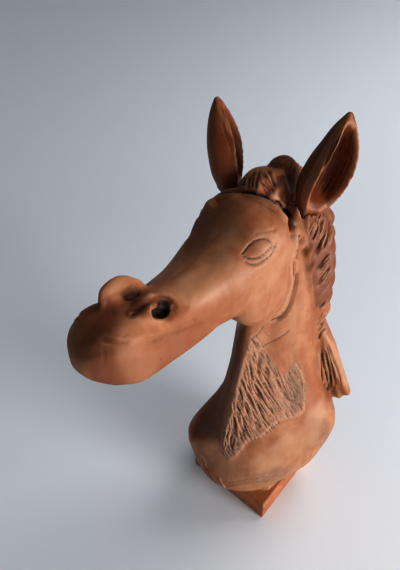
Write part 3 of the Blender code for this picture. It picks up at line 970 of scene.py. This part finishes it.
# The nose, the leaf that stands up at the far nostril, the lips and the mouth
LEAF_FOOT = ((101, 302), (106.8, 301), (115, 297.5), (123, 293.5), (130, 288.5), (136, 282))
MUZZLE = (
    Cut(((134, 309), (143, 302), (153, 297), (163, 297)), 30.0, 2.6, Tool.RIDGE, fade=0.4),
    Cut(LEAF_FOOT, 5.0, 1.0, fade=0.2),
    Cut(LEAF_FOOT, 8.0, 1.0, Tool.SHELF, fade=0.2),
    Cut(((154, 284), (170, 277), (183, 268), (195, 259), (216, 242), (238, 228)),
        24.0, 1.6, Tool.RIDGE, fade=0.3, mirrored=True),
    Cut(((108.7, 306), (112, 311.5), (116.4, 316.5)), 5.0, 0.6, fade=0.4),
    Cut(((96.3, 336.6), (107, 340), (118, 342.3), (131, 342)), 5.0, 1.2, fade=0.3, mirrored=True),
    Cut(((121, 341), (124, 336), (126, 331)), 2.4, 0.4, fade=0.4),
    Cut(((103, 346), (104, 356), (103.4, 368)), 2.5, 0.35, fade=0.4),
    Cut(((131, 347), (145, 343), (163, 338), (186, 330.5), (206, 320)), 9.0, 0.6, fade=0.3, mirrored=True),
    Cut(((165, 344), (178, 339), (190, 333), (203, 326)), 8.0, 0.35, Tool.RIDGE, fade=0.4, mirrored=True),
)

# The bowl of the near nostril, the hole in it, and three pinholes
NOSTRIL = (
    Cut(((132, 313.5), (139, 306), (147, 301), (157, 299), (166, 301), (172, 306)), 12.0, 3.0, fade=0.2),
    Cut(((131, 313), (133, 313.5), (136, 313)), 4.0, 1.4, fade=0.3),
)
NOSTRIL_HOLES = (
    Cut(((157.5, 311.2), (159.5, 310.6), (161.5, 310)), 12.0, 8.0, fade=0.0),
    Cut(((165, 313), (168, 311), (171, 312)), 2.4, 1.2, fade=0.3),
)
PINHOLES = (
    Cut(((86.6, 349.3), (87, 349.5), (87.4, 349.7)), 1.6, 1.2, fade=0.0),
    Cut(((194.4, 320.3), (194.8, 320.5), (195.2, 320.7)), 1.6, 1.2, fade=0.0),
    Cut(((160.9, 358.5), (161.3, 358.6), (161.7, 358.7)), 1.4, 0.9, fade=0.0),
)

# The nose round the near nostril, rubbed smooth, and how far from the line in metres
SANDED = ((130, 309), (138, 302), (148, 296), (158, 294), (168, 298))
SANDED_REACH = 15.5 * MM

# The ridges and deep seams along the edges of forehead and cheek
SEAMS = (
    Cut(tuple((x + 0.2, y + 2.6) for x, y in FOREHEAD_EDGE[1:]), 9.0, 1.7, Tool.RIDGE, fade=0.08),
    Cut(((208, 213), (211, 206), (218, 201.5)), 26.0, 4.0, Tool.RIDGE, fade=0.5),
    Cut(tuple((x + 3.4, y + 1.6) for x, y in CHEEK_EDGE), 8.0, 2.2, fade=0.1, mirrored=True),
    Cut(tuple((x + 1.4, y + 0.7) for x, y in CHEEK_EDGE), 2.6, 2.0, fade=0.05, mirrored=True),
    Cut(tuple((x + 1.2, y - 2.6) for x, y in FOREHEAD_EDGE), 6.0, 3.2, fade=0.05),
    Cut(tuple((x + 0.6, y - 1.4) for x, y in FOREHEAD_EDGE), 2.6, 3.0, fade=0.05),
    Cut(((297, 249), (294.5, 262), (293, 278)), 3.2, 1.8),
)

# The bead of glue at the near ear, and the grey smear round it
GLUE = (
    Cut(((288.5, 213.5), (290, 217), (293, 222), (296, 226)), 4.5, 1.6, Tool.RIDGE, fade=0.25),
    Cut(((289, 216), (289.7, 217), (290.4, 218)), 3.0, 1.6, Tool.RIDGE, fade=0.0),
)
GLUE_SMEAR = Area(((286, 212), (291, 211), (295, 217), (299, 226), (295, 229), (289, 223)), 1.5)

# The broken rim at the foot of the chest, and the cracks of the neck
RIM = (
    Cut(((196.7, 450.7), (204.4, 459.3), (206.3, 467), (212, 475.6), (218, 484), (225.4, 490)),
        3.0, 1.2, Tool.RIDGE),
    Cut(((218.7, 477), (222, 483), (226, 489)), 3.5, 1.5, Tool.RIDGE),
    Cut(((225.4, 488), (243.6, 484.5), (268.5, 481), (280, 479)), 3.0, 0.9, Tool.RIDGE),
    Cut(((204, 464), (210, 474), (216, 483)), 2.0, 1.2),
    Cut(((226, 483), (243.6, 480.5), (262, 478)), 2.0, 0.8),
)
CRACKS = (
    Cut(((249, 341.4), (253, 338), (256.8, 335.2), (260.5, 330.5), (263.7, 325.3)), 1.2, 0.9),
    Cut(((260.6, 348.3), (268.3, 343.7), (275.9, 339.8), (283.6, 335.2), (289.7, 329.9)), 1.3, 1.1),
    Cut(((265.2, 332.2), (266.5, 334.5), (269.5, 336)), 1.2, 0.7, fade=0.3),
)

# The rough chest: its outline, the furrows that run down it and the strings of wood at its foot
CHEST = Area(((249, 336), (257, 334), (262, 344), (276, 366), (283.6, 377), (293.5, 364), (301, 361),
              (304, 375), (306.5, 387), (305.7, 405.6), (301, 415.6), (283.6, 420), (272.8, 431),
              (261.8, 439), (249.3, 441), (243, 450), (236, 458), (228, 462), (221, 452), (221, 436),
              (226, 414), (235, 386), (242, 366), (246, 350)), 2)
FURROWS = (
    Comb(((256, 350), (262, 372), (276, 398), (291, 416)), ((228, 406), (229, 424), (233, 440), (239, 453)),
         19, 2.5, 1.7, 1.2, seed=3),
    Comb(((252, 342), (258, 364), (272, 394), (288, 417)), ((226, 410), (227, 426), (230, 442), (236, 456)),
         28, 1.3, 1.0, 1.2, seed=4),
    Comb(((270, 362), (277, 380), (291, 402)), ((299, 366), (304, 380), (305, 402)),
         9, 1.8, 0.7, 1.2, seed=5),
    Comb(((250, 342), (256, 364), (268, 390), (284, 416)), ((228, 412), (228, 428), (231, 442), (236, 456)),
         12, 1.8, 0.9, 1.5, Tool.RIDGE, seed=6),
)
STRINGS = (
    Comb(((223, 422), (222, 438), (225, 458)), ((235, 424), (234, 440), (234, 462)),
         7, 1.7, 1.4, 1.2, seed=7),
    Comb(((224, 424), (224, 438), (226, 460)), ((236, 428), (235, 442), (234, 460)),
         5, 1.3, 1.0, 1.8, Tool.RIDGE, seed=8),
)

# How far the splinters lean from upright in the picture, in degrees
FIBRE_LEAN = 30.0

# Where the wood has weathered to grey
GREY_AREAS = (
    Area(((198, 425), (206, 416), (218, 412), (228, 420), (224, 436), (222, 455), (216, 470), (207, 466),
          (199, 448)), 4),
    Area(((313, 424), (322, 418), (331, 424), (329, 440), (320, 447), (314, 440)), 4),
    Area(((255, 474), (270, 468), (295, 466), (290, 476), (272, 483), (252, 486)), 4),
    Area(((290, 366), (300, 366), (305, 385), (303, 408), (290, 416), (282, 400)), 4),
    GLUE_SMEAR,
)

# The crest of the mane behind the neck, in metres, and how far its hair reaches to either side
CREST = ((0.0, 0.002, 0.371), (0.0, 0.030, 0.350), (0.012, 0.052, 0.312), (0.017, 0.060, 0.270),
         (0.016, 0.056, 0.226), (0.030, 0.062, 0.175), (0.044, 0.064, 0.130))
CREST_REACH = 24 * MM

# The mane: strands combed between pairs of lines, from the poll to the tips of the tuft
MANE_TOP = (((313, 213), (310, 222), (307, 231)), ((335, 219), (333, 240), (326, 255), (316, 271)))
MANE_MIDDLE = (((332, 250), (324, 259), (314, 272)), ((331, 277), (325, 288), (316, 298)))
TUFT_EDGE = ((321, 338), (320, 352), (320, 372), (323, 388))
MANE_COMBS = (
    Comb(*MANE_TOP, 10, 3.6, 2.6, 0.5, seed=11),
    Comb(*MANE_TOP, 14, 1.6, 0.9, 0.6, seed=15),
    Comb(*MANE_MIDDLE, 7, 3.2, 2.2, 0.5, seed=12),
    Comb(*MANE_MIDDLE, 9, 1.5, 0.8, 0.6, seed=16),
    Comb(((326, 298), (321, 303), (317, 309)), ((328, 326), (322, 334), (317, 343)),
         7, 2.6, 1.8, 0.5, seed=13),
    Comb(TUFT_EDGE, ((327, 338), (332, 356), (341, 378), (342, 397)), 9, 2.8, 2.0, 0.6, seed=14),
    Comb(TUFT_EDGE, ((328, 338), (336, 358), (346, 378), (346, 395)), 12, 1.4, 0.7, 0.6, seed=17),
)

# The flat front of the tuft, and the hair that shows beside the neck
TUFT_FACET = Area(((326, 335), (333, 342), (341, 358), (349, 371), (352, 381), (344, 386), (337, 374),
                   (331, 356)), 2)
MANE_HAIR = Area(((303, 222), (311, 206), (334, 206), (344, 228), (339, 262), (334, 292), (329, 302),
                  (316, 308), (313, 285), (311, 255), (308, 239)), 3)

# The forelock's strands
FORELOCK_COMBS = (
    Comb(((248, 168), (243, 178), (241, 191)), ((264, 163), (257, 177), (258, 194)),
         7, 2.2, 1.8, 1.0, seed=21),
    Comb(((264, 166), (272, 176), (280, 194)), ((257, 182), (264, 190), (272, 200)),
         6, 2.0, 1.6, 0.8, seed=22),
    Comb(((266, 160), (276, 157), (288, 157)), ((264, 172), (275, 169), (288, 168)),
         6, 1.8, 1.0, 0.8, seed=23),
)

# Painted shade, where the light doesn't reach: the nostril's bowl, the front and underside of the muzzle, the
# leaf at the far nostril, the forehead and the front of the neck
SHADES = (
    Area(((129, 311), (134, 299), (148, 293), (166, 294), (178, 302), (180, 313), (170, 321), (154, 320),
          (142, 318)), 4, 0.8),
    Area(((74, 310), (96, 296), (112, 306), (116, 336), (112, 362), (128, 396), (92, 392), (72, 350)),
         12, 0.75),
    Area(((100, 330), (140, 335), (190, 318), (216, 312), (200, 350), (150, 396), (100, 392)), 14, 0.5),
    Area(((92, 300), (98, 268), (116, 262), (136, 274), (150, 290), (140, 320), (110, 330)), 8, 0.45),
    Area(((196, 196), (232, 190), (262, 196), (250, 212), (226, 222), (206, 252), (182, 262), (176, 240)),
         12, 0.6),
    Area(((222, 330), (247, 326), (242, 356), (228, 396), (220, 440), (190, 440), (206, 390)), 5, 1.0),
)

# Painted light, paler where the light falls: the tuft, the lower chest and the side of the nose; the edge of
# the cheek is rubbed pale
PAINTED_LIGHT_AREAS = (
    Area(TUFT_FACET.outline, 2, 1.2),
    Area(((246, 462), (270, 446), (300, 424), (324, 392), (328, 410), (316, 444), (296, 458), (262, 474)),
         8, 0.9),
    Area(((152, 296), (172, 282), (198, 262), (226, 246), (236, 262), (228, 290), (204, 308), (182, 306),
          (170, 294)), 12, 0.9),
)
WORN_BANDS = (Band(CHEEK_EDGE, 9.0, 0.7, True),)

# Painted shade in the crevices: round the ears' roots and along the back of the forehead, in front of the
# nostril and along the cracks
SHADED_CREVICES = (
    Area(((276, 176), (292, 174), (291, 190), (288, 208), (292, 222), (284, 212), (279, 200)), 3),
    Area(((226, 176), (241, 168), (246, 174), (243, 190), (230, 193), (218, 195)), 3),
    Area(((206, 198), (221, 192), (238, 189), (256, 192), (270, 198), (281, 206), (285, 212), (271, 203),
          (256, 197), (238, 194), (221, 196)), 3),
)
SHADED_CREVICE_BANDS = (
    Band(NOSTRIL[0].line, 11.0, 0.75),
    *(Band(crack.line, 1.9, 0.6) for crack in CRACKS),
)

# The ears: fibres left in their hollows, and painted light in bands along their rims
EAR_COMBS = {
    "left_ear": (
        Comb(((340, 124), (330, 148), (318, 176), (310, 204)),
             ((353, 134), (352, 156), (338, 186), (320, 208)), 16, 1.6, 1.1, 1.0, seed=31),
    ),
    "right_ear": (
        Comb(((220, 112), (226, 138), (234, 165)), ((227, 118), (236, 142), (243, 168)),
             7, 1.4, 0.5, 0.6, seed=32),
    ),
}
EAR_RIMS = {
    "left_ear": (
        Band(((345, 120), (338, 130), (327, 149), (315, 170), (307, 188), (304, 200), (308, 213)),
             9.0, 0.75),
        Band(((350, 116), (355, 130), (356, 150), (353, 168), (345, 182), (334, 199), (320, 210)),
             4.5, 0.75),
    ),
    "right_ear": (
        Band(((217, 98), (221, 114), (230.5, 132.7), (238.4, 145.7), (242.7, 161), (246, 167)), 4.0, 0.75),
    ),
}


@dataclass
class Bust:
    """The head, neck and bust, carved from one block."""

    voxel: float = 1.15 * MM
    relaxing: int = 6
    triangles: int = 190000
    view: Viewpoint = Viewpoint()
    sanding_rounds: int = 450
    sanding_soft: float = 5 * MM
    strand_scale: Triple = (330.0, 330.0, 36.0)
    strand_depth: float = 1.6 * MM
    crest_step: float = 4 * MM
    crest_soft: float = 6 * MM
    splinter_width: float = 2.0
    splinter_length: float = 16.0
    splinter_depth: float = 1.3 * MM
    splinter_rise: float = 0.2 * MM
    knife_scale: float = 48.0
    knife_depth: float = 0.3 * MM
    hollow_rounds: int = 12
    # How deep a hollow must be to go fully dark with dirt and painted shade, and how much of that the rough
    # chest and the tuft's front are spared
    dark_hollows_depth: float = 0.8 * MM
    rough_spared: float = 0.85
    tuft_spared: float = 0.8
    furrow_depth: float = 0.9 * MM
    # The nostril's hole, painted black as its shadow
    hole_radius: float = 7.8 * MM
    hole_soft: float = 3 * MM
    mane_end: float = 0.18
    mane_fade: float = 0.06

    def build(self) -> bpy.types.Object:
        """Carves, thins, paints and dresses the bust.

        Returns:
            The finished piece.
        """
        piece = finer("horse_head_bust", "carved_horse_head", self.voxel, self.relaxing)
        skin = Skin(piece, self.view)
        combs = [cut for comb in FURROWS + STRINGS + MANE_COMBS + FORELOCK_COMBS for cut in comb.cuts()]
        self.weather(skin)
        skin.ease(skin.reach(skin.trace(SANDED), SANDED_REACH, self.sanding_soft), self.sanding_rounds)
        skin.carve(EYE_LIDS + MUZZLE + SEAMS + RIM)
        skin.carve(NOSTRIL)
        skin.carve(combs)
        skin.carve(CRACKS + NOSTRIL_HOLES + PINHOLES + GLUE)
        thinned(piece, self.triangles)
        self.paint(Skin(piece, self.view))
        join_frame(piece, "horse_head_bust", BUST_WOOD.dress())
        return piece

    def crest(self, skin: Skin, more: float, soft: float) -> np.ndarray:
        """Returns a mask of the hair behind the neck, reaching so much more and fading over soft."""
        return skin.reach(spline(CREST, self.crest_step), CREST_REACH + more, soft)

    def weather(self, skin: Skin) -> None:
        """Leaves the knife's unevenness all over, strands behind the neck and splinters on the chest.

        Args:
            skin: the bust's dense skin.
        """
        points = skin.points
        hair = self.crest(skin, 0.0, self.crest_soft)
        chosen = np.nonzero((hair > 0) & (skin.patch(MANE_HAIR) < 0.5))[0]
        strands = fractal(points[chosen], self.strand_scale, 2)
        skin.height[chosen] -= self.strand_depth * np.abs(strands) * hair[chosen]
        rough = skin.patch(CHEST)
        chosen = np.nonzero(rough > 0.01)[0]
        seen = self.view.project(points[chosen])
        lean = math.radians(FIBRE_LEAN)
        across = seen @ (math.cos(lean), -math.sin(lean)) / self.splinter_width
        along = seen @ (math.sin(lean), math.cos(lean)) / self.splinter_length
        fibres = fractal(np.stack((across, along, 0.0 * along), axis=1), 1.0, 3)
        skin.height[chosen] -= (self.splinter_depth * np.abs(fibres) - self.splinter_rise) * rough[chosen]
        skin.height += self.knife_depth * fractal(points, self.knife_scale, 1)
        skin.commit()

    def paint(self, skin: Skin) -> None:
        """Stores the masks that the finish reads.

        Args:
            skin: the bust's skin after thinning.
        """
        hollow = skin.hollowness(self.hollow_rounds)
        rough = skin.patch(CHEST)
        hole = skin.reach(skin.trace(NOSTRIL_HOLES[0].line), self.hole_radius, self.hole_soft)
        # Near black in the hollows: dirt, which also stands for the shade that falls in them, less on the
        # rough chest and the tuft's front; the nostril's hole is painted black as its shadow
        dark_hollows = np.clip(hollow / self.dark_hollows_depth, 0, 1)
        dark_hollows *= (1 - self.rough_spared * rough) * (1 - self.tuft_spared * skin.patch(TUFT_FACET))
        skin.store("hollow", np.maximum(dark_hollows, hole))
        # Pale: painted light on the tuft, the lower chest and the side of the nose, rubbed wear on the
        # cheek's edge and on every outward edge, none in the hollows
        skin.store("worn", skin.areas(PAINTED_LIGHT_AREAS) + skin.bands(WORN_BANDS) - hollow / self.dark_hollows_depth)
        # Painted shade in the crevices: the ears' roots, the back of the forehead, the nostril's bowl and the
        # cracks
        skin.store("stain", skin.areas(SHADED_CREVICES) + skin.bands(SHADED_CREVICE_BANDS))
        skin.store("shade", skin.areas(SHADES))
        skin.store("rough", rough)
        # How high the skin stands, by which the rough wood's furrows are painted in shade
        skin.store("relief", 0.5 - hollow / self.furrow_depth)
        skin.store("grey", skin.areas(GREY_AREAS))
        hair = np.maximum(skin.patch(MANE_HAIR), self.crest(skin, self.crest_soft, 2 * self.crest_soft))
        skin.store("mane", hair * smooth((skin.points[:, 2] - self.mane_end) / self.mane_fade))


@dataclass
class Ear:
    """One carved ear, glued into its socket."""

    node: str
    voxel: float = 0.9 * MM
    relaxing: int = 4
    triangles: int = 40000
    view: Viewpoint = Viewpoint()
    hollow_rounds: int = 20
    dark_hollows_depth: float = 1.2 * MM
    worn_height: float = 1.0 * MM

    def build(self, material: bpy.types.Material) -> bpy.types.Object:
        """Carves and dresses the ear.

        Args:
            material: the ears' finish.

        Returns:
            The finished piece.
        """
        piece = finer(self.node, "carved_" + self.node, self.voxel, self.relaxing)
        skin = Skin(piece, self.view)
        skin.carve([cut for comb in EAR_COMBS[self.node] for cut in comb.cuts()])
        thinned(piece, self.triangles)
        skin = Skin(piece, self.view)
        hollow = skin.hollowness(self.hollow_rounds)
        # Near black in the hollows: dirt, which also paints the shade in them
        skin.store("hollow", hollow / self.dark_hollows_depth)
        # Pale: painted light in bands along the rims, and rubbed wear on the outward edges
        skin.store("worn", skin.bands(EAR_RIMS[self.node]) - hollow / self.worn_height)
        skin.blank(MASKS[2:])
        join_frame(piece, self.node, material)
        return piece


@dataclass
class Plate:
    """The square plate under the carving."""

    edge: float = 0.5 * MM
    flat: float = 0.01

    def build(self) -> bpy.types.Object:
        """Softens and dresses the plate.

        Returns:
            The finished piece.
        """
        bm = merged_copy("square_base")
        bmesh.ops.dissolve_limit(bm, angle_limit=self.flat, verts=bm.verts, edges=bm.edges)
        bmesh.ops.bevel(bm, geom=bm.edges[:], offset=self.edge, offset_type="OFFSET", affect="EDGES",
                        segments=2, profile=0.5, material=-1)
        piece = linked(bm, "square_plate")
        Skin(piece, Viewpoint()).blank(MASKS)
        join_frame(piece, "square_base", PLATE_WOOD.dress())
        return piece


@dataclass(frozen=True)
class Lamp:
    """One square area light: where it hangs, what it faces, its side in metres and its power in watts."""

    name: str
    place: Triple
    aim: Triple
    size: float
    watts: float
    mirrored: bool = True

    def hang(self, colour: Triple, spread: float) -> None:
        """Adds the light to the scene.

        Args:
            colour: the light's colour.
            spread: the angle in degrees that it shines into.
        """
        data = bpy.data.lights.new(self.name, "AREA")
        data.size = self.size
        data.energy = self.watts
        data.color = colour
        data.spread = math.radians(spread)
        light = bpy.data.objects.new(self.name, data)
        light.visible_camera = False
        light.visible_glossy = self.mirrored
        light.location = self.place
        light.rotation_euler = (Vector(self.aim) - Vector(self.place)).to_track_quat("-Z", "Y").to_euler()
        bpy.context.scene.collection.objects.link(light)


@dataclass
class Studio:
    """The pale floor, its upturned edge and the soft lights."""

    floor_radius: float = 0.9
    bend: float = 3.5
    wall: float = 0.8
    first_turn: float = 0.1
    paper: Triple = (0.84, 0.86, 0.89)
    paper_roughness: float = 0.9
    light: Triple = (1.0, 0.99, 0.98)
    spread: float = 150.0
    sky: Triple = (0.78, 0.88, 1.0)
    sky_strength: float = 0.19
    gamma: float = 0.7
    lamps: tuple[Lamp, ...] = (
        Lamp("window", (1.5, 0.16, 0.42), (0.0, 0.0, 0.2), 0.75, 20.5),
        Lamp("room", (1.4, -0.5, 0.45), (0.0, 0.0, 0.2), 0.8, 2.0),
        Lamp("glow", (0.3, 1.9, 2.4), (-0.1, 1.3, 0.0), 1.6, 30.0, False),
    )

    def sweep(self) -> bpy.types.Object:
        """Builds the floor and the wall that it curves up into, all round.

        Returns:
            The floor, marked as stage.
        """
        bm = bmesh.new()
        path = [(0.0, 0.0), (self.floor_radius, 0.0)]
        path += [(self.floor_radius + self.bend * math.sin(a), self.bend * (1 - math.cos(a)))
                 for a in np.linspace(self.first_turn, math.pi / 2, 12)]
        path.append((self.floor_radius + self.bend, self.bend + self.wall))
        verts = [bm.verts.new((x, 0.0, z)) for x, z in path]
        edges = [bm.edges.new(pair) for pair in zip(verts, verts[1:])]
        bmesh.ops.spin(bm, geom=verts + edges, cent=(0, 0, 0), axis=(0, 0, 1), angle=math.tau, steps=72,
                       use_merge=True)
        bmesh.ops.remove_doubles(bm, verts=bm.verts, dist=0.1 * MM)
        bmesh.ops.recalc_face_normals(bm, faces=bm.faces)
        floor = linked(bm, "paper_sweep")
        floor.data.shade_smooth()
        paper = Graph("pale_paper")
        paper.shader.inputs["Base Color"].default_value = (*self.paper, 1.0)
        paper.shader.inputs["Roughness"].default_value = self.paper_roughness
        floor.data.materials.append(paper.material)
        return floor

    def build(self) -> None:
        """Sets the floor, the lights and the sky."""
        self.sweep()
        for lamp in self.lamps:
            lamp.hang(self.light, self.spread)
        scene = bpy.context.scene
        scene.world = bpy.data.worlds.new("soft_sky")
        scene.world.use_nodes = True
        background = scene.world.node_tree.nodes["Background"]
        background.inputs["Color"].default_value = (*self.sky, 1.0)
        background.inputs["Strength"].default_value = self.sky_strength
        scene.view_settings.view_transform = "Standard"
        scene.view_settings.gamma = self.gamma


def main() -> None:
    """Builds every piece, the studio and the camera."""
    logging.basicConfig(level=logging.INFO, format="%(name)s: %(message)s")
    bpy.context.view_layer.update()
    Viewpoint().build()
    Studio().build()
    Bust().build()
    ears = EAR_WOOD.dress()
    for node in ("left_ear", "right_ear"):
        Ear(node).build(ears)
    Plate().build()


if __name__ == "__main__":
    main()
